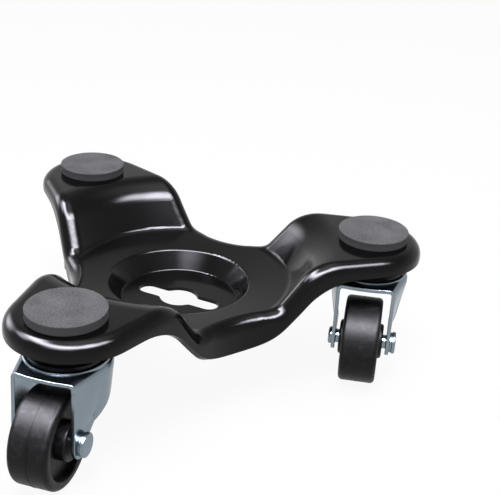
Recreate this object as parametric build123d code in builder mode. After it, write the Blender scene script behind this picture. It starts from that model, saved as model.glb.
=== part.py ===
"""Three-armed furniture dolly: a pressed steel deck on three swivel casters, with a pad on each arm."""

import os
from math import cos, radians, sin, tan

from build123d import *

# All sizes are in millimetres. The floor is z = 0 and the hub's axis is x = y = 0.

# Arms and casters, counted round the hub from the front one
arm_reach = 110.5
caster_names = ("front", "right", "left")
first_arm_angle = -90.0
trail_headings = {"front": -81.5, "right": -74.0, "left": -56.0}

# Wheel: solid plastic, recessed on both sides, with a hub that stands proud
wheel_radius = 25.0
tread_width = 21.0
tread_edge_radius = 2.5
parting_ridge_height = 0.15
parting_ridge_width = 0.7
rim_thickness = 5.0
rim_edge_radius = 0.8
web_thickness = 13.0
boss_radius = 10.0
boss_edge_radius = 1.5
hub_length = 25.0

# Axle: a rivet through a sleeve that the wheel turns on
axle_radius = 3.0
sleeve_radius = 4.0
sleeve_end_gap = 2.1
axle_head_radius = 6.3
axle_head_thickness = 2.0
axle_head_edge = 0.8
axle_washer_radius = 5.8
axle_washer_thickness = 1.4
peened_head_radius = 5.0
peened_head_thickness = 2.2
peened_head_edge = 1.4
axle_clearance = 0.1
running_clearance = 0.06

# Fork: pressed sheet with a round crown, flaring sides and tapering legs
fork_sheet = 2.0
trail = 20.0
crown_gap = 9.0
crown_radius = 22.5
crown_front = 25.4
crown_front_bow = 1.6
crown_bend_radius = 3.4
crown_edge_depth = 5.0
flank_angle = 14.7
leg_rear = -10.0
leg_flare_bottom = 32.0
leg_knee_height = 38.5
leg_knee_radius = 16.0
leg_end_radius = 7.5

# Swivel bearing: two ball rows on a kingpin, one above the fork's crown and one below
kingpin_radius = 5.0
kingpin_head_radius = 12.0
kingpin_head_thickness = 2.6
kingpin_end_radius = 7.5
kingpin_end_thickness = 2.2
kingpin_end_edge = 1.2
kingpin_clearance = 0.1
swivel_clearance = 0.4
upper_ball_radius = 2.5
upper_ball_count = 16
upper_ball_pitch = 14.2
upper_groove_depth = 1.0
lower_ball_radius = 2.0
lower_ball_count = 12
lower_ball_pitch = 9.0
lower_groove_depth = 0.6
ball_clearance = 0.08
race_radius = 17.4
race_bore = 10.0
race_gap = 0.6
race_lift = 3.0
crown_rim_radius = 21.3
crown_rim_width = 0.8
crown_rim_lift = 0.8
retainer_radius = 12.5
retainer_thickness = 2.0
retainer_edge_radius = 0.8
cup_radius = 19.0
cup_sheet = 2.0
cup_floor = 2.6
cup_depth = 15.0
collar_height = 3.6
collar_edge_radius = 0.6
cup_bead_height = 2.4
cup_neck_height = 2.0
cup_neck_depth = 1.0

# Deck: one pressed sheet, lowest in the dished hub and highest on the arms
deck_sheet = 2.0
lobe_setback = 6.2
lobe_radius = 34.0
arm_taper = 12.0
valley_bend = 60.0
deck_rim_radius = 7.0
hub_floor_drop = 40.0
hub_floor_radius = 33.5
hub_floor_bend = 1.0
dish_rim_drop = 29.0
dish_rim_radius = 40.5
dish_rim_bend = 2.0
crease_drop = 26.5
crease_radius = 63.5
crease_bend = 4.5
shoulder_radius = 79.0
shoulder_bend = 21.5
skirt_hub_drop = 47.3
skirt_hub_radius = 65.6
skirt_hub_bend = 22.0
skirt_arm_drop = 9.3
skirt_arm_radius = 89.6
skirt_arm_bend = 28.0
hub_hole_radius = 11.0
slot_width = 11.5
slot_length = 51.0
slot_neck_radius = 3.0
seat_radius = 13.0
seat_depth = 3.0

# Pads on the arm ends
pad_radius = 20.0
pad_thickness = 5.0

# Heights that follow from the sizes above
axle_height = wheel_radius
crown_under = 2 * wheel_radius + crown_gap
crown_top = crown_under + fork_sheet
cup_bottom = crown_top + race_lift
deck_under = cup_bottom + cup_depth
arm_top = deck_under + deck_sheet
seat_floor = arm_top - seat_depth
seat_under = seat_floor - deck_sheet
upper_ball_height = cup_bottom + upper_groove_depth - upper_ball_radius
lower_ball_height = crown_under + lower_groove_depth - lower_ball_radius
retainer_top = lower_ball_height - lower_ball_radius + lower_groove_depth
retainer_under = retainer_top - retainer_thickness

# Widths that follow from the sizes above
leg_inside = hub_length / 2 + sleeve_end_gap
leg_outside = leg_inside + fork_sheet
axle_head_seat = leg_outside + axle_washer_thickness
collar_radius = crown_rim_radius - crown_rim_width - swivel_clearance
collar_slope = collar_radius - cup_radius
lobe_reach = arm_reach - lobe_setback
deck_reach = lobe_reach + lobe_radius
form_core_radius = hub_hole_radius / 2


def ball_ring(pitch, count, ball_radius, height):
    """A row of separate balls round the swivel axis."""
    with BuildPart(Plane.XY.offset(height)) as balls:
        with PolarLocations(pitch, count):
            Sphere(ball_radius)
    return balls.part


def groove_ring(pitch, ball_radius, height):
    """The ring that a row of balls needs to itself, with clearance all round."""
    with BuildPart(Plane.XY.offset(height)) as groove:
        Torus(pitch, ball_radius + ball_clearance)
    return groove.part


def axle_plane(lateral):
    """A plane across the axle, facing the fork's head side."""
    return Plane(origin=(trail, lateral, axle_height), x_dir=(0, 0, 1), z_dir=(0, 1, 0))


upper_groove = groove_ring(upper_ball_pitch, upper_ball_radius, upper_ball_height)
lower_groove = groove_ring(lower_ball_pitch, lower_ball_radius, lower_ball_height)
upper_balls = ball_ring(upper_ball_pitch, upper_ball_count, upper_ball_radius, upper_ball_height)
lower_balls = ball_ring(lower_ball_pitch, lower_ball_count, lower_ball_radius, lower_ball_height)


# Wheel, turned about the axle
wheel_plane = Plane(origin=(trail, 0, axle_height), x_dir=(0, 1, 0), z_dir=(1, 0, 0))
tread_radius = wheel_radius - parting_ridge_height
rim_inside = tread_radius - rim_thickness

with BuildPart() as wheel:
    with BuildSketch(wheel_plane) as wheel_section:
        with Locations((0, (boss_radius + sleeve_radius) / 2)):
            Rectangle(hub_length, boss_radius - sleeve_radius)
        fillet(wheel_section.vertices().group_by(Axis.Y)[-1], boss_edge_radius)
        with Locations((0, (rim_inside + sleeve_radius) / 2)):
            Rectangle(web_thickness, rim_inside - sleeve_radius)
        with Locations((0, rim_inside + rim_thickness / 2)):
            Rectangle(tread_width, rim_thickness)
        fillet(wheel_section.vertices().group_by(Axis.Y)[-1], tread_edge_radius)
        rim_lips = wheel_section.vertices().filter_by(lambda v: abs(v.Y - rim_inside) < rim_edge_radius)
        fillet(rim_lips.filter_by(lambda v: abs(v.X) > web_thickness / 2 + rim_edge_radius), rim_edge_radius)
        with Locations((0, tread_radius)):
            Rectangle(parting_ridge_width, 2 * parting_ridge_height)
        with Locations((0, sleeve_radius)):
            Rectangle(hub_length, 2 * running_clearance, mode=Mode.SUBTRACT)
    revolve(axis=Axis((trail, 0, axle_height), (0, 1, 0)))


# Axle rivet, its washer and the sleeve between the fork's legs
with BuildPart() as axle:
    with BuildSketch(axle_plane(-leg_outside)) as shank_section:
        Circle(axle_radius)
    extrude(amount=leg_outside + axle_head_seat)
    with BuildSketch(axle_plane(axle_head_seat)) as head_section:
        Circle(axle_head_radius)
    extrude(amount=axle_head_thickness)
    fillet(axle.edges().group_by(Axis.Y)[-1], axle_head_edge)
    with BuildSketch(axle_plane(-leg_outside)) as peened_section:
        Circle(peened_head_radius)
    extrude(amount=-peened_head_thickness)
    fillet(axle.edges().group_by(Axis.Y)[0], peened_head_edge)

with BuildPart() as axle_washer:
    with BuildSketch(axle_plane(leg_outside)) as washer_section:
        Circle(axle_washer_radius)
        Circle(axle_radius + axle_clearance, mode=Mode.SUBTRACT)
    extrude(amount=axle_washer_thickness)

with BuildPart() as axle_sleeve:
    with BuildSketch(axle_plane(-leg_inside)) as sleeve_section:
        Circle(sleeve_radius)
        Circle(axle_radius + axle_clearance, mode=Mode.SUBTRACT)
    extrude(amount=2 * leg_inside)


# Fork. In plan its sides run straight from the front to the round crown, at the flank angle
tangent_angle = 90 - flank_angle
leg_front = trail + leg_end_radius


def flank_point(x, inset):
    """The point of the straight flank at x, moved in from the outside by the inset."""
    return (x, (crown_radius - inset - x * sin(radians(flank_angle))) / cos(radians(flank_angle)))


def crown_point(angle, inset):
    """The point of the round crown at an angle from the trail direction."""
    return ((crown_radius - inset) * cos(radians(angle)), (crown_radius - inset) * sin(radians(angle)))


def fork_plan(height, front_corner, crown_corner, inset):
    """A level section of the fork's body: two straight sides, a square front and a round back."""
    with BuildSketch(Plane.XY.offset(height)) as plan:
        with BuildLine() as outline:
            left_side = Line(front_corner, crown_corner)
            back = ThreePointArc(
                left_side @ 1,
                (inset - crown_radius, 0),
                (crown_corner[0], -crown_corner[1]),
            )
            right_side = Line(back @ 1, (front_corner[0], -front_corner[1]))
            Line(right_side @ 1, left_side @ 0)
        make_face()
    return plan.sketch


def fork_body(front, inset):
    """The solid inside the fork's pressed sheet, moved in from its outside by the inset."""
    crown_corner = crown_point(tangent_angle, inset)
    half_waist = leg_outside - inset
    upper_plan = fork_plan(crown_top - crown_edge_depth, flank_point(front, inset), crown_corner, inset)
    waist_plan = fork_plan(leg_flare_bottom, (front, half_waist), (crown_corner[0], half_waist), inset)
    with BuildPart() as body:
        extrude(upper_plan, amount=crown_edge_depth - inset)
        crown_edges = body.faces().sort_by(Axis.Z)[-1].edges()
        fillet(crown_edges.sort_by(Axis.X)[:-1], crown_bend_radius - inset)
        loft([waist_plan.face(), upper_plan.face()], ruled=True)
        extrude(waist_plan, amount=-leg_flare_bottom)
    return body.part


fork_outside = fork_body(leg_front, 0)
fork_inside = fork_body(2 * leg_front, fork_sheet)
crown_nose = crown_front + crown_front_bow

with BuildSketch(Plane.XZ) as fork_side:
    with BuildLine() as leg_outline:
        Polyline(
            (leg_rear, crown_top),
            (crown_front, crown_top),
            (crown_front, crown_under),
            (leg_front, axle_height),
            (trail - leg_end_radius, axle_height),
            (leg_rear, leg_knee_height),
            close=True,
        )
    make_face()
    fillet(fork_side.vertices().sort_by_distance((leg_rear, leg_knee_height))[0], leg_knee_radius)
    with Locations((trail, axle_height)):
        Circle(leg_end_radius)
    with Locations(((crown_nose - crown_radius) / 2, crown_top - crown_edge_depth / 2)):
        Rectangle(crown_nose + crown_radius, crown_edge_depth)

with BuildSketch(Plane.XY.offset(crown_top)) as nose_trim:
    with BuildLine() as nose_outline:
        nose = ThreePointArc((crown_front, leg_outside), (crown_nose, 0), (crown_front, -leg_outside))
        Polyline(nose @ 1, (leg_front, -leg_outside), (leg_front, leg_outside), nose @ 0)
    make_face()

with BuildPart() as fork:
    add(fork_outside)
    add(fork_inside, mode=Mode.SUBTRACT)
    extrude(fork_side.sketch, amount=2 * crown_radius, both=True, mode=Mode.INTERSECT)
    extrude(nose_trim.sketch, amount=-crown_edge_depth, mode=Mode.SUBTRACT)
    with BuildSketch(Plane.XY.offset(crown_under)) as race_plan:
        Circle(race_radius)
        Circle(race_bore, mode=Mode.SUBTRACT)
    extrude(amount=fork_sheet + race_lift - race_gap)
    with BuildSketch(Plane.XY.offset(crown_under)) as rim_plan:
        Circle(crown_rim_radius)
        Circle(crown_rim_radius - crown_rim_width, mode=Mode.SUBTRACT)
    extrude(amount=fork_sheet + crown_rim_lift)
    add(upper_groove, mode=Mode.SUBTRACT)
    add(lower_groove, mode=Mode.SUBTRACT)
    with BuildSketch(Plane.XY.offset(crown_under)) as kingpin_way:
        Circle(kingpin_radius + swivel_clearance)
    extrude(amount=fork_sheet, mode=Mode.SUBTRACT)
    with BuildSketch(axle_plane(0)) as axle_way:
        Circle(axle_radius + axle_clearance)
    extrude(amount=leg_outside, both=True, mode=Mode.SUBTRACT)


# Swivel bearing pieces that stay with the deck
with BuildPart() as upper_race:
    with BuildSketch(Plane.XY.offset(crown_top + race_gap)) as collar_plan:
        Circle(collar_radius)
        Circle(race_radius + swivel_clearance, mode=Mode.SUBTRACT)
    extrude(amount=collar_height)
    fillet(upper_race.edges().group_by(Axis.Z)[0].sort_by(SortBy.RADIUS)[-1], collar_edge_radius)
    chamfer(upper_race.edges().group_by(Axis.Z)[-1].sort_by(SortBy.RADIUS)[-1], collar_slope)
    with BuildSketch(Plane.XY.offset(cup_bottom)) as cup_plan:
        Circle(cup_radius)
    extrude(amount=cup_depth)
    with BuildSketch(Plane.XY.offset(cup_bottom + cup_bead_height)) as cup_neck:
        Circle(cup_radius)
        Circle(cup_radius - cup_neck_depth, mode=Mode.SUBTRACT)
    extrude(amount=cup_neck_height, mode=Mode.SUBTRACT)
    with BuildSketch(Plane.XY.offset(cup_bottom + cup_floor)) as cup_inside:
        Circle(cup_radius - cup_sheet)
    extrude(amount=cup_depth, mode=Mode.SUBTRACT)
    with BuildSketch(Plane.XY.offset(cup_bottom)) as cup_bore:
        Circle(kingpin_radius + kingpin_clearance)
    extrude(amount=cup_floor, mode=Mode.SUBTRACT)
    add(upper_groove, mode=Mode.SUBTRACT)

with BuildPart() as retainer:
    with BuildSketch(Plane.XY.offset(retainer_under)) as retainer_plan:
        Circle(retainer_radius)
    extrude(amount=retainer_thickness)
    fillet(retainer.edges().group_by(Axis.Z)[0], retainer_edge_radius)
    with BuildSketch(Plane.XY.offset(retainer_under)) as retainer_bore:
        Circle(kingpin_radius + kingpin_clearance)
    extrude(amount=retainer_thickness, mode=Mode.SUBTRACT)
    add(lower_groove, mode=Mode.SUBTRACT)

with BuildPart() as kingpin:
    with BuildSketch(Plane.XY.offset(retainer_under)) as kingpin_section:
        Circle(kingpin_radius)
    extrude(amount=seat_floor - retainer_under)
    with BuildSketch(Plane.XY.offset(seat_floor)) as kingpin_head:
        Circle(kingpin_head_radius)
    extrude(amount=kingpin_head_thickness)
    with BuildSketch(Plane.XY.offset(retainer_under)) as kingpin_end:
        Circle(kingpin_end_radius)
    extrude(amount=-kingpin_end_thickness)
    fillet(kingpin.edges().group_by(Axis.Z)[0], kingpin_end_edge)

with BuildPart() as pad:
    with BuildSketch(Plane.XY.offset(arm_top)) as pad_plan:
        Circle(pad_radius)
    extrude(amount=pad_thickness)


# Deck outline: three tapering arms with round ends, and a wide concave bend between them
lobe_tangent_x = lobe_reach + lobe_radius * sin(radians(arm_taper))
lobe_tangent_half = lobe_radius * cos(radians(arm_taper))
arm_root_half = lobe_tangent_half + lobe_tangent_x * tan(radians(arm_taper))

with BuildSketch() as outer_plan:
    with PolarLocations(lobe_reach, len(caster_names), first_arm_angle):
        Circle(lobe_radius)
    with PolarLocations(0, len(caster_names), first_arm_angle):
        Polygon(
            (0, -arm_root_half),
            (lobe_tangent_x, -lobe_tangent_half),
            (lobe_tangent_x, lobe_tangent_half),
            (0, arm_root_half),
            align=None,
        )
    fillet(outer_plan.vertices().group_by(SortBy.DISTANCE)[0], valley_bend)

with BuildSketch() as inner_plan:
    add(outer_plan.sketch)
    offset(amount=-deck_sheet, mode=Mode.REPLACE)

# Section of the pressing from the hub out along an arm
with BuildSketch(Plane.XZ) as outer_section:
    with BuildLine() as pressed_line:
        FilletPolyline(
            (form_core_radius, arm_top - hub_floor_drop),
            (hub_floor_radius, arm_top - hub_floor_drop),
            (dish_rim_radius, arm_top - dish_rim_drop),
            (crease_radius, arm_top - crease_drop),
            (shoulder_radius, arm_top),
            (2 * deck_reach, arm_top),
            radius=[hub_floor_bend, dish_rim_bend, crease_bend, shoulder_bend],
        )
        Polyline(
            pressed_line.line @ 1,
            (2 * deck_reach, -arm_top),
            (form_core_radius, -arm_top),
            pressed_line.line @ 0,
        )
    make_face()

with BuildSketch(Plane.XZ) as inner_section:
    add(outer_section.sketch_local)
    offset(amount=-deck_sheet, mode=Mode.REPLACE)

# Section of what is trimmed away under the skirt
with BuildSketch(Plane.XZ) as skirt_trim:
    with BuildLine() as skirt_line:
        FilletPolyline(
            (0, arm_top - skirt_hub_drop),
            (skirt_hub_radius, arm_top - skirt_hub_drop),
            (skirt_arm_radius, arm_top - skirt_arm_drop),
            (2 * deck_reach, arm_top - skirt_arm_drop),
            radius=[skirt_hub_bend, skirt_arm_bend],
        )
        Polyline(skirt_line.line @ 1, (2 * deck_reach, -arm_top), (0, -arm_top), skirt_line.line @ 0)
    make_face()


def pressed_form(plan, section, rim_radius):
    """The solid under a pressed surface, with its rim rounded over all the way round."""
    with BuildPart() as form:
        extrude(plan.sketch, amount=2 * arm_top)
        revolve(section.sketch, axis=Axis.Z, mode=Mode.INTERSECT)
        walls = form.faces().filter_by(lambda face: abs(face.normal_at().Z) < 0.01)
        wall_edges = ShapeList(edge for wall in walls for edge in wall.edges())
        upper_edges = wall_edges.filter_by(lambda edge: edge.center().Z > arm_top - skirt_hub_drop)
        rim = upper_edges.filter_by(Axis.Z, reverse=True)
        rim = rim.filter_by(lambda edge: (edge.center().X**2 + edge.center().Y**2) ** 0.5 > dish_rim_radius)
        fillet(rim, rim_radius)
    return form.part


outer_form = pressed_form(outer_plan, outer_section, deck_rim_radius)
inner_form = pressed_form(inner_plan, inner_section, deck_rim_radius - deck_sheet)

with BuildPart() as deck_plate:
    add(outer_form)
    add(inner_form, mode=Mode.SUBTRACT)
    revolve(skirt_trim.sketch, axis=Axis.Z, mode=Mode.SUBTRACT)
    with BuildSketch() as hub_cut:
        Circle(hub_hole_radius)
        SlotOverall(slot_length, slot_width)
        fillet(hub_cut.vertices().group_by(SortBy.DISTANCE)[0], slot_neck_radius)
    extrude(amount=arm_top, mode=Mode.SUBTRACT)
    with BuildSketch(Plane.XY.offset(seat_under)) as seat_boss:
        with PolarLocations(arm_reach, len(caster_names), first_arm_angle):
            Circle(seat_radius + deck_sheet)
    extrude(amount=seat_depth)
    with BuildSketch(Plane.XY.offset(seat_floor)) as seat_pocket:
        with PolarLocations(arm_reach, len(caster_names), first_arm_angle):
            Circle(seat_radius)
    extrude(amount=seat_depth, mode=Mode.SUBTRACT)
    with BuildSketch(Plane.XY.offset(seat_under)) as kingpin_holes:
        with PolarLocations(arm_reach, len(caster_names), first_arm_angle):
            Circle(kingpin_radius + kingpin_clearance)
    extrude(amount=deck_sheet, mode=Mode.SUBTRACT)


# Every piece is placed and written: the deck once, and the rest once for each arm
os.makedirs("parts", exist_ok=True)
deck_plate.part.label = "deck_plate"
export_step(deck_plate.part, "parts/deck_plate.step")

caster_pieces = {
    "pad": pad.part,
    "kingpin": kingpin.part,
    "upper_race": upper_race.part,
    "upper_balls": upper_balls,
    "fork": fork.part,
    "lower_balls": lower_balls,
    "retainer": retainer.part,
    "axle": axle.part,
    "axle_washer": axle_washer.part,
    "axle_sleeve": axle_sleeve.part,
    "wheel": wheel.part,
}

for number, caster in enumerate(caster_names):
    arm_angle = radians(first_arm_angle + number * 360 / len(caster_names))
    heading = radians(trail_headings[caster])
    caster_plane = Plane(
        origin=(arm_reach * cos(arm_angle), arm_reach * sin(arm_angle), 0),
        x_dir=(cos(heading), sin(heading), 0),
        z_dir=(0, 0, 1),
    )
    for piece, shape in caster_pieces.items():
        with BuildPart(caster_plane) as placed:
            add(shape)
        placed.part.label = f"{caster}_{piece}"
        export_step(placed.part, f"parts/{caster}_{piece}.step")
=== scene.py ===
"""Looks of a three-armed furniture dolly: black pressed deck, grey pads and zinc-plated swivel casters."""

import math

import bmesh
import bpy
from bpy.props import FloatProperty, FloatVectorProperty, IntProperty, PointerProperty
from mathutils import Matrix, Vector, noise


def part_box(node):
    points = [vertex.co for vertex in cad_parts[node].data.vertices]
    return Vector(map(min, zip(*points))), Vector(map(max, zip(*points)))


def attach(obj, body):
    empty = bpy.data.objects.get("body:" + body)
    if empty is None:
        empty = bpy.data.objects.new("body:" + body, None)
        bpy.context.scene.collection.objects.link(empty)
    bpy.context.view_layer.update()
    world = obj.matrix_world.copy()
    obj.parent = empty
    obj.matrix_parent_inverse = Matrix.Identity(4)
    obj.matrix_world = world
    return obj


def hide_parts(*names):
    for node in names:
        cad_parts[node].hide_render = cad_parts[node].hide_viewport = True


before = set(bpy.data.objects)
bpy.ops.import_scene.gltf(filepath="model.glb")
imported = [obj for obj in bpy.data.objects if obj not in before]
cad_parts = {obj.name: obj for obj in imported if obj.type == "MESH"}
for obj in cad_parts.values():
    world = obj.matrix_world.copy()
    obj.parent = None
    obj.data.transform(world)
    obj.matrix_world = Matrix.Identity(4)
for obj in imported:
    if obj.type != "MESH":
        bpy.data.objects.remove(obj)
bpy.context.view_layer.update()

bl_info = {
    "name": "Tri-dolly",
    "version": (1, 0, 0),
    "blender": (4, 5, 0),
    "location": "View3D > Sidebar > Dolly",
    "description": "Finishes, pads and studio of a three-armed furniture dolly",
    "category": "Object",
}

MM = 0.001
CASTERS = ("front", "right", "left")

# sockets of the Mix node when it mixes colours, whose names its other kinds share
MIX_FACTOR, MIX_FIRST, MIX_SECOND = 0, 6, 7
MIX_COLOUR = 2

# the soft boxes that only show in the gloss are faintly violet, as the highlights on the paint are
GLOSS_TINT = "#f5f3ff"
LAMP_DISTANCE = 1.0
SENSOR_WIDTH_MM = 36


def linear(hex_colour):
    """An sRGB hex colour as the linear values that shaders use."""
    channels = [int(hex_colour[start : start + 2], 16) / 255 for start in (1, 3, 5)]
    return tuple(c / 12.92 if c <= 0.04045 else ((c + 0.055) / 1.055) ** 2.4 for c in channels)


def per_mm(size_mm):
    """The texture scale that gives a pattern this spacing, in object coordinates of metres."""
    return 1 / (size_mm * MM)


def add_node(tree, kind, settings=None, links=None):
    """Adds a node, sets its properties and sockets, and links sockets to other nodes' outputs."""
    node = tree.nodes.new(kind)
    for name, value in (settings or {}).items():
        if isinstance(name, str) and hasattr(node, name):
            setattr(node, name, value)
        else:
            node.inputs[name].default_value = value
    for socket, source in (links or {}).items():
        tree.links.new(source, node.inputs[socket])
    return node


def new_material(name):
    """An empty node material, with its tree and the object's own coordinates."""
    material = bpy.data.materials.new(name)
    material.use_nodes = True
    tree = material.node_tree
    tree.nodes.clear()
    place = add_node(tree, "ShaderNodeTexCoord")
    return material, tree, place.outputs["Object"]


def colour_property(name, description, hex_colour):
    """A colour setting with an sRGB hex default."""
    return FloatVectorProperty(
        name=name,
        description=description,
        subtype="COLOR",
        size=3,
        min=0,
        max=1,
        default=linear(hex_colour),
    )


def roughness_property(description, default):
    """A roughness setting from mirror to matt."""
    return FloatProperty(name="Roughness", description=description, default=default, min=0, max=1)


def small_length_property(name, description, default_mm):
    """A length setting shown to a thousandth of a millimetre."""
    return FloatProperty(
        name=name, description=description, default=default_mm * MM, unit="LENGTH", min=0, precision=6
    )


class DollyPaint(bpy.types.PropertyGroup):
    """Black stoved paint of the deck and the swivel cups."""

    colour: colour_property("Paint", "Colour of the black paint", "#080809")
    roughness: roughness_property("Blur of the paint's gloss", 0.15)
    peel: small_length_property("Orange peel", "Height of the ripple in the paint", 0.01)


class DollyMetal(bpy.types.PropertyGroup):
    """Zinc plate of the forks, axles and pins."""

    colour: colour_property("Zinc", "Colour of the zinc plate", "#838e96")
    dull_colour: colour_property("Dull zinc", "Colour where the plate has dulled", "#77828a")
    roughness: roughness_property("Blur of the plate's shine", 0.2)
    edge: small_length_property("Edge", "Rounding of the sheared edges", 0.7)


class DollyWheel(bpy.types.PropertyGroup):
    """Black plastic of the wheels."""

    colour: colour_property("Plastic", "Colour of the wheel plastic", "#09090a")
    scuff_colour: colour_property("Scuffs", "Colour of the rubbing marks on the wheels", "#1e1e21")
    roughness: roughness_property("Blur of the plastic's sheen", 0.43)


class DollyPad(bpy.types.PropertyGroup):
    """Foam rubber discs on the arm ends."""

    colour: colour_property("Pad", "Colour of the foam rubber", "#747377")
    speck_colour: colour_property("Speck", "Colour of the pores in the foam rubber", "#504f52")
    # the pads' sides take this colour: partly the cut's own darker colour, partly painted shade where less
    # light reaches the side
    cut_and_shade_colour: colour_property("Cut edge", "Colour of the foam rubber where it was cut", "#474749")
    edge: small_length_property("Edge", "Rounding of the cut edge", 0.5)
    segments: IntProperty(name="Segments", description="Divisions round each pad", default=160, min=24)


class DollyStage(bpy.types.PropertyGroup):
    """Floor, room, lamps and camera."""

    floor_colour: colour_property("Floor", "Colour of the floor", "#fdfdfd")
    lamp_level: FloatProperty(name="Lamps", description="Brightness of all the lamps", default=1.0, min=0)
    horizon_level: FloatProperty(
        name="Walls", description="Brightness of the room's pale walls", default=0.8, min=0
    )
    ceiling_level: FloatProperty(
        name="Ceiling", description="Brightness of the room overhead", default=0.4, min=0
    )
    focal_length: FloatProperty(
        name="Focal length", description="Focal length of the camera", unit="CAMERA", default=72.64, min=1
    )
    camera_place: FloatVectorProperty(
        name="Camera place",
        description="Where the camera stands",
        subtype="TRANSLATION",
        unit="LENGTH",
        default=(0.24845, -0.45607, 0.31919),
    )
    camera_heading: FloatProperty(
        name="Camera heading",
        description="Direction that the camera looks in, seen from above",
        unit="ROTATION",
        default=math.radians(114.19),
    )
    camera_tilt: FloatProperty(
        name="Camera tilt",
        description="How far down the camera looks",
        unit="ROTATION",
        default=math.radians(25.25),
    )
    camera_roll: FloatProperty(
        name="Camera roll",
        description="How far the camera leans about its own line of sight",
        unit="ROTATION",
        default=math.radians(3.456),
    )


def black_paint(settings):
    """Stoved black enamel over pressed steel: deep black with a wet gloss and a faint ripple."""
    ripple_mm = 2.5
    haze_mm = 30
    haze_spread = 0.03
    material, tree, place = new_material("stoved_black_enamel")
    peel = add_node(
        tree,
        "ShaderNodeTexNoise",
        {"Scale": per_mm(ripple_mm), "Detail": 1.0},
        {"Vector": place},
    )
    bump = add_node(
        tree,
        "ShaderNodeBump",
        {"Strength": 0.35, "Distance": settings.peel},
        {"Height": peel.outputs["Fac"]},
    )
    haze = add_node(
        tree,
        "ShaderNodeTexNoise",
        {"Scale": per_mm(haze_mm), "Detail": 3.0},
        {"Vector": place},
    )
    rough = add_node(
        tree,
        "ShaderNodeMapRange",
        {"To Min": settings.roughness - haze_spread, "To Max": settings.roughness + haze_spread},
        {"Value": haze.outputs["Fac"]},
    )
    shader = add_node(
        tree,
        "ShaderNodeBsdfPrincipled",
        {"Base Color": (*settings.colour, 1), "IOR": 1.5, "Specular IOR Level": 0.16},
        {"Roughness": rough.outputs["Result"], "Normal": bump.outputs["Normal"]},
    )
    add_node(tree, "ShaderNodeOutputMaterial", None, {"Surface": shader.outputs["BSDF"]})
    return material


def zinc_plate(settings):
    """Bright zinc plate on pressed steel: bluish grey, softly mirrored, clouded by the plating bath."""
    cloud_mm = 14
    cloud_spread = 0.04
    grain_mm = 0.9
    grain_height_mm = 0.01
    material, tree, place = new_material("bright_zinc_plate")
    cloud = add_node(
        tree,
        "ShaderNodeTexNoise",
        {"Scale": per_mm(cloud_mm), "Detail": 3.0, "Roughness": 0.5},
        {"Vector": place},
    )
    tone = add_node(
        tree,
        "ShaderNodeMix",
        {"data_type": "RGBA", MIX_FIRST: (*settings.dull_colour, 1), MIX_SECOND: (*settings.colour, 1)},
        {MIX_FACTOR: cloud.outputs["Fac"]},
    )
    rough = add_node(
        tree,
        "ShaderNodeMapRange",
        {"To Min": settings.roughness + cloud_spread, "To Max": settings.roughness - cloud_spread},
        {"Value": cloud.outputs["Fac"]},
    )
    grain = add_node(
        tree,
        "ShaderNodeTexNoise",
        {"Scale": per_mm(grain_mm), "Detail": 2.0},
        {"Vector": place},
    )
    # the sheared edges are rounded in the shading alone
    edge = add_node(tree, "ShaderNodeBevel", {"samples": 8, "Radius": settings.edge})
    bump = add_node(
        tree,
        "ShaderNodeBump",
        {"Strength": 0.12, "Distance": grain_height_mm * MM},
        {"Height": grain.outputs["Fac"], "Normal": edge.outputs["Normal"]},
    )
    # the tint keeps the plate from turning white where it is seen at a low angle
    shader = add_node(
        tree,
        "ShaderNodeBsdfPrincipled",
        {"Metallic": 1.0, "Specular Tint": (0.76, 0.78, 0.8, 1)},
        {
            "Base Color": tone.outputs[MIX_COLOUR],
            "Roughness": rough.outputs["Result"],
            "Normal": bump.outputs["Normal"],
        },
    )
    add_node(tree, "ShaderNodeOutputMaterial", None, {"Surface": shader.outputs["BSDF"]})
    return material


def ball_steel():
    """Polished bearing steel: a clear, nearly white mirror under a thin film of oil."""
    film_mm = 3
    material, tree, place = new_material("polished_bearing_steel")
    film = add_node(
        tree,
        "ShaderNodeTexNoise",
        {"Scale": per_mm(film_mm), "Detail": 2.0},
        {"Vector": place},
    )
    rough = add_node(
        tree,
        "ShaderNodeMapRange",
        {"To Min": 0.1, "To Max": 0.2},
        {"Value": film.outputs["Fac"]},
    )
    shader = add_node(
        tree,
        "ShaderNodeBsdfPrincipled",
        {"Metallic": 1.0, "Base Color": (*linear("#c6c8ca"), 1)},
        {"Roughness": rough.outputs["Result"]},
    )
    add_node(tree, "ShaderNodeOutputMaterial", None, {"Surface": shader.outputs["BSDF"]})
    return material


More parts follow.
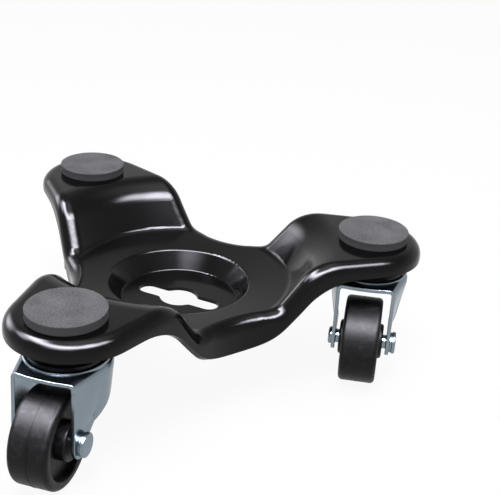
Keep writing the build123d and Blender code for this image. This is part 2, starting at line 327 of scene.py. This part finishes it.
def wheel_plastic(settings):
    """Moulded black polypropylene: a soft satin sheen with fine rubbing marks."""
    rub_mm = 2.5
    rub_spread = 0.12
    skin_mm = 0.8
    skin_height_mm = 0.02
    material, tree, place = new_material("moulded_black_polypropylene")
    rub = add_node(
        tree,
        "ShaderNodeTexNoise",
        {"Scale": per_mm(rub_mm), "Detail": 6.0, "Roughness": 0.75},
        {"Vector": place},
    )
    rough = add_node(
        tree,
        "ShaderNodeMapRange",
        {
            "From Min": 0.3,
            "From Max": 0.7,
            "To Min": settings.roughness - rub_spread,
            "To Max": settings.roughness + rub_spread,
        },
        {"Value": rub.outputs["Fac"]},
    )
    scuff = add_node(
        tree,
        "ShaderNodeMapRange",
        {"From Min": 0.52, "From Max": 0.72},
        {"Value": rub.outputs["Fac"]},
    )
    tone = add_node(
        tree,
        "ShaderNodeMix",
        {"data_type": "RGBA", MIX_FIRST: (*settings.colour, 1), MIX_SECOND: (*settings.scuff_colour, 1)},
        {MIX_FACTOR: scuff.outputs["Result"]},
    )
    skin = add_node(
        tree,
        "ShaderNodeTexNoise",
        {"Scale": per_mm(skin_mm), "Detail": 2.0},
        {"Vector": place},
    )
    bump = add_node(
        tree,
        "ShaderNodeBump",
        {"Strength": 0.5, "Distance": skin_height_mm * MM},
        {"Height": skin.outputs["Fac"]},
    )
    shader = add_node(
        tree,
        "ShaderNodeBsdfPrincipled",
        {"IOR": 1.49, "Specular IOR Level": 0.13},
        {
            "Base Color": tone.outputs[MIX_COLOUR],
            "Roughness": rough.outputs["Result"],
            "Normal": bump.outputs["Normal"],
        },
    )
    add_node(tree, "ShaderNodeOutputMaterial", None, {"Surface": shader.outputs["BSDF"]})
    return material


def foam_rubber(settings):
    """Closed-cell foam rubber, cut from sheet: matt grey with fine dark pores, darker along the cut edge,
    partly by the cut's own colour and partly by painted shade.
    """
    # the pores are finer than this in the real sheet, and are drawn coarser so that they show
    pore_mm = 1.0
    pore_depth_mm = 0.15
    patch_mm = 14
    patch_share = 0.5
    material, tree, place = new_material("closed_cell_foam_rubber")
    pores = add_node(
        tree,
        "ShaderNodeTexNoise",
        {"Scale": per_mm(pore_mm), "Detail": 3.0, "Roughness": 0.75},
        {"Vector": place},
    )
    patches = add_node(
        tree,
        "ShaderNodeTexNoise",
        {"Scale": per_mm(patch_mm), "Detail": 2.0},
        {"Vector": place},
    )
    mottle = add_node(
        tree,
        "ShaderNodeMath",
        {"operation": "MULTIPLY_ADD", 1: patch_share},
        {0: patches.outputs["Fac"], 2: pores.outputs["Fac"]},
    )
    speck = add_node(
        tree,
        "ShaderNodeMapRange",
        {"From Min": 0.58, "From Max": 0.92},
        {"Value": mottle.outputs[0]},
    )
    tone = add_node(
        tree,
        "ShaderNodeMix",
        {"data_type": "RGBA", MIX_FIRST: (*settings.speck_colour, 1), MIX_SECOND: (*settings.colour, 1)},
        {MIX_FACTOR: speck.outputs["Result"]},
    )
    # the top faces up and shows the sheet's skin, and the side shows the cut, darkened further with painted
    # shade where less light falls on it
    facing = add_node(tree, "ShaderNodeTexCoord")
    upward = add_node(tree, "ShaderNodeSeparateXYZ", None, {0: facing.outputs["Normal"]})
    face = add_node(
        tree,
        "ShaderNodeMapRange",
        {"From Min": 0.2, "From Max": 0.8},
        {"Value": upward.outputs["Z"]},
    )
    cut = add_node(
        tree,
        "ShaderNodeMix",
        {"data_type": "RGBA", MIX_FIRST: (*settings.cut_and_shade_colour, 1)},
        {MIX_FACTOR: face.outputs["Result"], MIX_SECOND: tone.outputs[MIX_COLOUR]},
    )
    bump = add_node(
        tree,
        "ShaderNodeBump",
        {"Strength": 0.7, "Distance": pore_depth_mm * MM},
        {"Height": pores.outputs["Fac"]},
    )
    shader = add_node(
        tree,
        "ShaderNodeBsdfPrincipled",
        {"Roughness": 0.92, "IOR": 1.45, "Specular IOR Level": 0.04},
        {"Base Color": cut.outputs[MIX_COLOUR], "Normal": bump.outputs["Normal"]},
    )
    add_node(tree, "ShaderNodeOutputMaterial", None, {"Surface": shader.outputs["BSDF"]})
    return material


def dress(piece, material):
    """Gives a piece one finish."""
    piece.data.materials.clear()
    piece.data.materials.append(material)


def dress_all(kinds, material):
    """Gives one finish to these pieces of every caster."""
    for caster in CASTERS:
        for kind in kinds:
            dress(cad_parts[f"{caster}_{kind}"], material)


def link(name, data):
    """A new object with this mesh, lamp or camera, in the scene."""
    piece = bpy.data.objects.new(name, data)
    bpy.context.scene.collection.objects.link(piece)
    return piece


def pad_profile(radius, bottom, top, edge):
    """Half the section of a foam disc, from the middle of its underside round to the middle of its top."""
    waist = 0.25 * MM
    side_steps = 8
    edge_step = 15
    top_rings = 24
    profile = [(radius * share, bottom) for share in (0.0, 0.5, 0.9)]
    profile.append((radius - edge / 2, bottom))
    profile.append((radius, bottom + edge / 2))
    # the lower edge is rounded by half as much as the upper one
    side = top - bottom - 1.5 * edge
    for step in range(1, side_steps):
        share = step / side_steps
        profile.append((radius - waist * math.sin(math.pi * share), bottom + edge / 2 + side * share))
    for turn in range(0, 91, edge_step):
        angle = math.radians(turn)
        profile.append((radius - edge + edge * math.cos(angle), top - edge + edge * math.sin(angle)))
    for ring in range(top_rings - 1, 0, -1):
        profile.append(((radius - edge) * ring / top_rings, top))
    profile.append((0.0, top))
    return profile


def pad_disc(name, low, high, settings):
    """A foam rubber disc: soft top, rounded cut edge and a side that draws in slightly."""
    lump_spacing = 6 * MM
    lump_depth = 0.05 * MM
    middle = (low + high) / 2
    edge = settings.edge
    made = bmesh.new()
    loops = []
    for out, height in pad_profile((high.x - low.x) / 2, low.z, high.z, edge):
        if out == 0.0:
            loops.append([made.verts.new((middle.x, middle.y, height))])
            continue
        loop = []
        for turn in range(settings.segments):
            angle = 2 * math.pi * turn / settings.segments
            spot = Vector((middle.x + out * math.cos(angle), middle.y + out * math.sin(angle), height))
            loop.append(made.verts.new(spot))
        loops.append(loop)
    for below, above in zip(loops, loops[1:]):
        for turn in range(settings.segments):
            after = (turn + 1) % settings.segments
            if len(below) == 1:
                made.faces.new((below[0], above[after], above[turn]))
            elif len(above) == 1:
                made.faces.new((below[turn], below[after], above[0]))
            else:
                made.faces.new((below[turn], below[after], above[after], above[turn]))
    for vertex in made.verts:
        if vertex.co.z > low.z + edge:
            vertex.co.z -= abs(noise.noise(vertex.co / lump_spacing)) * lump_depth
    made.normal_update()
    mesh = bpy.data.meshes.new(name)
    made.to_mesh(mesh)
    made.free()
    mesh.shade_smooth()
    return link(name, mesh)


class DOLLY_OT_deck(bpy.types.Operator):
    """Paints the pressed deck and the swivel cups under its arms"""

    bl_idname = "dolly.deck"
    bl_label = "Deck and cups"

    def execute(self, context):
        material = black_paint(context.scene.dolly_paint)
        dress(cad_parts["deck_plate"], material)
        dress_all(["upper_race"], material)
        return {"FINISHED"}


class DOLLY_OT_forks(bpy.types.Operator):
    """Plates the forks, axles, washers, sleeves, swivel pins and their retainers with zinc"""

    bl_idname = "dolly.forks"
    bl_label = "Forks and axles"

    def execute(self, context):
        material = zinc_plate(context.scene.dolly_metal)
        dress_all(["fork", "axle", "axle_washer", "axle_sleeve", "kingpin", "retainer"], material)
        return {"FINISHED"}


class DOLLY_OT_balls(bpy.types.Operator):
    """Polishes the balls of the swivel bearings"""

    bl_idname = "dolly.balls"
    bl_label = "Bearing balls"

    def execute(self, context):
        dress_all(["upper_balls", "lower_balls"], ball_steel())
        return {"FINISHED"}


class DOLLY_OT_wheels(bpy.types.Operator):
    """Gives the wheels their moulded plastic"""

    bl_idname = "dolly.wheels"
    bl_label = "Wheels"

    def execute(self, context):
        dress_all(["wheel"], wheel_plastic(context.scene.dolly_wheel))
        return {"FINISHED"}


class DOLLY_OT_pads(bpy.types.Operator):
    """Makes the foam rubber pads on the arm ends"""

    bl_idname = "dolly.pads"
    bl_label = "Pads"

    def execute(self, context):
        settings = context.scene.dolly_pad
        material = foam_rubber(settings)
        for caster in CASTERS:
            node = f"{caster}_pad"
            pad = pad_disc(f"{caster}_foam_pad", *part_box(node), settings)
            dress(pad, material)
            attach(pad, "deck")
            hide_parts(node)
        return {"FINISHED"}


def floor_finish(settings):
    """White studio table: it stays white to the eye and in reflections, and keeps part of the shadow."""
    white_share = 0.92
    material, tree = new_material("white_studio_table")[:2]
    path = add_node(tree, "ShaderNodeLightPath")
    seen = add_node(
        tree,
        "ShaderNodeMath",
        {"operation": "MAXIMUM"},
        {0: path.outputs["Is Camera Ray"], 1: path.outputs["Is Glossy Ray"]},
    )
    seen = add_node(
        tree,
        "ShaderNodeMath",
        {"operation": "MAXIMUM"},
        {0: seen.outputs[0], 1: path.outputs["Is Transmission Ray"]},
    )
    share = add_node(
        tree, "ShaderNodeMath", {"operation": "MULTIPLY", 1: white_share}, {0: seen.outputs[0]}
    )
    matt = add_node(tree, "ShaderNodeBsdfDiffuse", {"Color": (*settings.floor_colour, 1)})
    glow = add_node(tree, "ShaderNodeEmission", {"Color": (1, 1, 1, 1), "Strength": 1.0})
    mix = add_node(
        tree,
        "ShaderNodeMixShader",
        None,
        {0: share.outputs[0], 1: matt.outputs[0], 2: glow.outputs[0]},
    )
    add_node(tree, "ShaderNodeOutputMaterial", None, {"Surface": mix.outputs[0]})
    return material


def studio_room(settings):
    """Dim room: pale walls near the floor's level, and a darker ceiling."""
    world = bpy.data.worlds.new("studio_room")
    world.use_nodes = True
    tree = world.node_tree
    tree.nodes.clear()
    place = add_node(tree, "ShaderNodeTexCoord")
    height = add_node(tree, "ShaderNodeSeparateXYZ", None, {0: place.outputs["Generated"]})
    level = add_node(
        tree,
        "ShaderNodeMapRange",
        {
            "From Min": 0.3,
            "From Max": 0.7,
            "To Min": settings.horizon_level,
            "To Max": settings.ceiling_level,
        },
        {"Value": height.outputs["Z"]},
    )
    glow = add_node(
        tree, "ShaderNodeBackground", {"Color": (1, 1, 1, 1)}, {"Strength": level.outputs["Result"]}
    )
    add_node(tree, "ShaderNodeOutputWorld", None, {"Surface": glow.outputs["Background"]})
    return world


def soften_edges(lamp):
    """Fades a lamp towards its edges, as the cloth of a soft box does."""
    lamp.use_nodes = True
    tree = lamp.node_tree
    tree.nodes.clear()
    spot = add_node(tree, "ShaderNodeNewGeometry")
    place = add_node(tree, "ShaderNodeSeparateXYZ", None, {0: spot.outputs["Parametric"]})
    fades = []
    for side in "XY":
        off = add_node(tree, "ShaderNodeMath", {"operation": "SUBTRACT", 1: 0.5}, {0: place.outputs[side]})
        off = add_node(tree, "ShaderNodeMath", {"operation": "ABSOLUTE"}, {0: off.outputs[0]})
        fade = add_node(
            tree,
            "ShaderNodeMapRange",
            {"interpolation_type": "SMOOTHSTEP", "From Min": 0.5, "From Max": 0.0},
            {"Value": off.outputs[0]},
        )
        fades.append(fade.outputs["Result"])
    both = add_node(tree, "ShaderNodeMath", {"operation": "MULTIPLY"}, {0: fades[0], 1: fades[1]})
    glow = add_node(tree, "ShaderNodeEmission", None, {"Strength": both.outputs[0]})
    add_node(tree, "ShaderNodeOutputLight", None, {"Surface": glow.outputs["Emission"]})


def soft_box(name, heading, height, size, radiance, aim, gloss_only=False):
    """A soft box facing the aim, set by its plan angle, its elevation, its size and its brightness."""
    width, length = size
    lamp = bpy.data.lights.new(name, "AREA")
    lamp.shape = "RECTANGLE"
    lamp.size = width
    lamp.size_y = length
    lamp.energy = radiance * math.pi * width * length
    lamp.color = linear(GLOSS_TINT) if gloss_only else (1, 1, 1)
    soften_edges(lamp)
    stand = link(name, lamp)
    turn = math.radians(heading)
    rise = math.radians(height)
    away = Vector((math.cos(turn) * math.cos(rise), math.sin(turn) * math.cos(rise), math.sin(rise)))
    stand.location = aim + away * LAMP_DISTANCE
    stand.rotation_mode = "QUATERNION"
    stand.rotation_quaternion = away.to_track_quat("Z", "Y")
    stand.visible_diffuse = not gloss_only


def light_studio(level):
    """Two lamps light the dolly, and the other soft boxes only shine in its gloss."""
    aim = Vector((0, 0, 50 * MM))
    soft_box("key_box", -70, 64, (0.6, 0.6), 14 * level, aim)
    soft_box("overhead_box", 90, 88, (1.2, 1.4), 3 * level, aim)
    # the boxes of the ring overlap, so that their fading edges add up to one even band
    ring_start = -175
    ring_end = 20
    ring_step = 15
    ring_height = 57
    # the band is dimmer at its right end
    dim_start = -20
    bright_radiance = 74
    dim_radiance = 52
    for heading in range(ring_start, ring_end, ring_step):
        radiance = bright_radiance if heading < dim_start else dim_radiance
        soft_box(f"gloss_box_{heading}", heading, ring_height, (0.3, 0.5), radiance * level, aim, True)
    soft_box("left_box", 174, 20, (0.7, 0.7), 13 * level, aim, True)
    soft_box("left_corner_box", -160, 42, (0.7, 0.5), 24 * level, aim, True)
    soft_box("front_box", -85, 48, (0.9, 0.5), 26 * level, aim, True)
    soft_box("back_arm_box", -27, 68, (0.4, 0.3), 52 * level, aim, True)


def place_camera(scene, settings):
    """The camera at the photograph's viewing angle."""
    lens = bpy.data.cameras.new("camera")
    lens.lens = settings.focal_length
    lens.sensor_width = SENSOR_WIDTH_MM
    camera = link("camera", lens)
    turned = (
        Matrix.Rotation(settings.camera_heading - math.pi / 2, 4, "Z")
        @ Matrix.Rotation(math.pi / 2 - settings.camera_tilt, 4, "X")
        @ Matrix.Rotation(settings.camera_roll, 4, "Z")
    )
    camera.matrix_world = Matrix.Translation(settings.camera_place) @ turned
    scene.camera = camera


class DOLLY_OT_stage(bpy.types.Operator):
    """Sets up the floor, the room, the lamps and the camera"""

    bl_idname = "dolly.stage"
    bl_label = "Stage"

    def execute(self, context):
        scene = context.scene
        settings = scene.dolly_stage
        reach = 12.0
        sheet = bpy.data.meshes.new("studio_table")
        sheet.from_pydata(
            [(-reach, -reach, 0), (reach, -reach, 0), (reach, reach, 0), (-reach, reach, 0)],
            [],
            [(0, 1, 2, 3)],
        )
        table = link("studio_table", sheet)
        dress(table, floor_finish(settings))
        scene.world = studio_room(settings)
        light_studio(settings.lamp_level)
        place_camera(scene, settings)
        scene.view_settings.view_transform = "Standard"
        return {"FINISHED"}


class DOLLY_PT_panel(bpy.types.Panel):
    """Lists the dolly's pieces and their settings"""

    bl_idname = "DOLLY_PT_panel"
    bl_label = "Tri-dolly"
    bl_space_type = "VIEW_3D"
    bl_region_type = "UI"
    bl_category = "Dolly"

    def draw(self, context):
        for operator in OPERATORS:
            self.layout.operator(operator.bl_idname)
        for name in SETTINGS:
            group = getattr(context.scene, name)
            for setting in group.bl_rna.properties.keys():
                if setting not in ("name", "rna_type"):
                    self.layout.prop(group, setting)


OPERATORS = (
    DOLLY_OT_deck,
    DOLLY_OT_forks,
    DOLLY_OT_balls,
    DOLLY_OT_wheels,
    DOLLY_OT_pads,
    DOLLY_OT_stage,
)
SETTINGS = {
    "dolly_paint": DollyPaint,
    "dolly_metal": DollyMetal,
    "dolly_wheel": DollyWheel,
    "dolly_pad": DollyPad,
    "dolly_stage": DollyStage,
}


def register():
    for group in SETTINGS.values():
        bpy.utils.register_class(group)
    for operator in (*OPERATORS, DOLLY_PT_panel):
        bpy.utils.register_class(operator)
    for name, group in SETTINGS.items():
        setattr(bpy.types.Scene, name, PointerProperty(type=group))


def unregister():
    for name in SETTINGS:
        delattr(bpy.types.Scene, name)
    for made in (DOLLY_PT_panel, *reversed(OPERATORS), *SETTINGS.values()):
        bpy.utils.unregister_class(made)


def main():
    register()
    bpy.ops.dolly.deck()
    bpy.ops.dolly.forks()
    bpy.ops.dolly.balls()
    bpy.ops.dolly.wheels()
    bpy.ops.dolly.pads()
    bpy.ops.dolly.stage()


if __name__ == "__main__":
    main()
